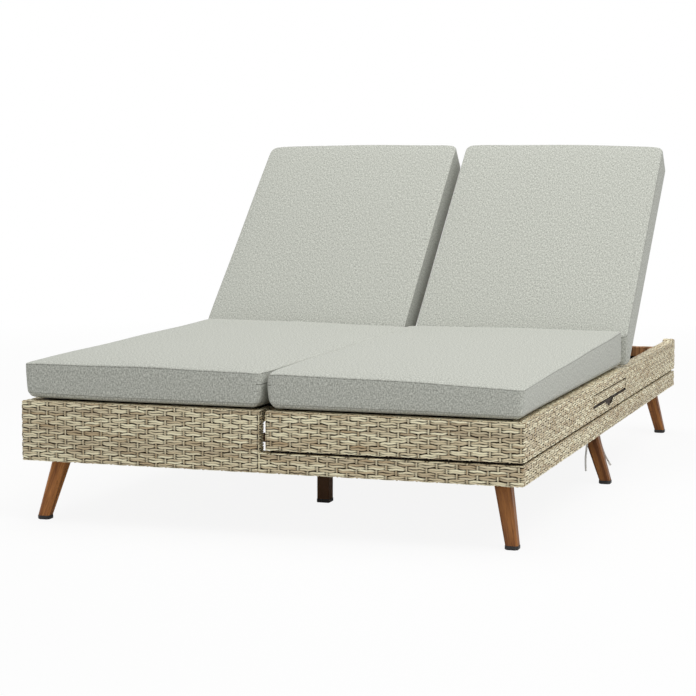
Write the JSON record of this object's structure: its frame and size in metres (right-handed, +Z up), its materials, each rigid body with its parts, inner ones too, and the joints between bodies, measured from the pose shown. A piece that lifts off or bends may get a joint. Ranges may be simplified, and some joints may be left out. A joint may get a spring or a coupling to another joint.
{
  "type": "double chaise lounger",
  "caption": "Two-place outdoor chaise lounger: woven rails on timber legs, separately reclining padded backrests with props, and a pull-out side tray.",
  "frame": {"origin": "on the floor under the middle of the frame", "axes": "+X to the right seen from the foot end, +Y towards the head end, +Z up; the backrests are raised at rest"},
  "size_m": [1.2096, 2, 0.872],
  "materials": {
    "wicker": "woven flat and round resin strand, mottled tan",
    "dark_steel": "satin dark brown powder coat",
    "timber": "oiled, grain along the leg",
    "pad": "matt",
    "zinc": "zinc plated",
    "cushion_fabric": "woven heathered light grey",
    "tie_tape": "soft white woven tape"
  },
  "bodies": {
    "base": {"left_side_weave": "wicker", "left_side_ladder": "dark_steel", "left_front_weave": "wicker", "left_front_ladder": "dark_steel", "left_head_weave": "wicker", "left_head_ladder": "dark_steel", "side_band_weave": "wicker", "front_band_weave": "wicker", "head_band_weave": "wicker", "side_band_tube": "dark_steel", "front_band_tube": "dark_steel", "head_band_tube": "dark_steel", "right_front_weave": "wicker", "right_front_ladder": "dark_steel", "right_head_weave": "wicker", "right_head_ladder": "dark_steel", "right_side_weave": "wicker", "right_side_ladder": "dark_steel", "packing_strip": "pad", "left_inner_weave": "wicker", "right_inner_weave": "wicker", "inner_rail_tubes": "dark_steel", "front_cross_frame": "dark_steel", "middle_cross_frame": "dark_steel", "head_cross_frame": "dark_steel", "centre_legs": "dark_steel", "deck_tubes": "dark_steel", "left_deck_weave": "wicker", "right_deck_weave": "wicker", "front_left_leg": "timber", "middle_left_leg": "timber", "head_left_leg": "timber", "front_right_leg": "timber", "middle_right_leg": "timber", "head_right_leg": "timber", "foot_pads": "pad", "leg_brackets": "dark_steel", "leg_bolts": "zinc", "tray_runners": "dark_steel", "hinge_plates": "dark_steel", "hinge_pins": "zinc", "rest_stops": "dark_steel", "rack_plates": "dark_steel", "left_seat_cushion": "cushion_fabric", "right_seat_cushion": "cushion_fabric", "tie_saddle": "tie_tape", "tie_tail_front": "tie_tape", "tie_tail_rear": "tie_tape"},
    "tray": {"tray_front": "wicker", "tray_floor": "dark_steel", "tray_rim": "dark_steel"},
    "left_backrest": {"left_backrest_frame": "dark_steel", "left_backrest_weave": "wicker", "left_back_cushion": "cushion_fabric"},
    "right_backrest": {"right_backrest_frame": "dark_steel", "right_backrest_weave": "wicker", "right_back_cushion": "cushion_fabric"},
    "left_prop": {"left_prop": "dark_steel"},
    "right_prop": {"right_prop": "dark_steel"}
  },
  "joints": [
    {"name": "left_recline", "type": "hinge", "parent": "base", "child": "left_backrest", "pos_m": [-0.297, 0.168, 0.268], "axis": [1, 0, 0], "range_deg": [-43.2, 0]},
    {"name": "right_recline", "type": "hinge", "parent": "base", "child": "right_backrest", "pos_m": [0.297, 0.168, 0.268], "axis": [1, 0, 0], "range_deg": [-43.2, 0]},
    {"name": "left_prop_swing", "type": "hinge", "parent": "left_backrest", "child": "left_prop", "pos_m": [-0.297, 0.29422, 0.36732], "axis": [1, 0, 0], "range_deg": [0, 79.2]},
    {"name": "right_prop_swing", "type": "hinge", "parent": "right_backrest", "child": "right_prop", "pos_m": [0.297, 0.29422, 0.36732], "axis": [1, 0, 0], "range_deg": [0, 79.2]},
    {"name": "tray_slide", "type": "slide", "parent": "base", "child": "tray", "axis": [1, 0, 0], "range_m": [0, 0.25]}
  ],
  "couplings": [
    {"joint": "left_prop_swing", "follows": "left_recline", "ratio": -1.8333},
    {"joint": "right_prop_swing", "follows": "right_recline", "ratio": -1.8333}
  ]
}
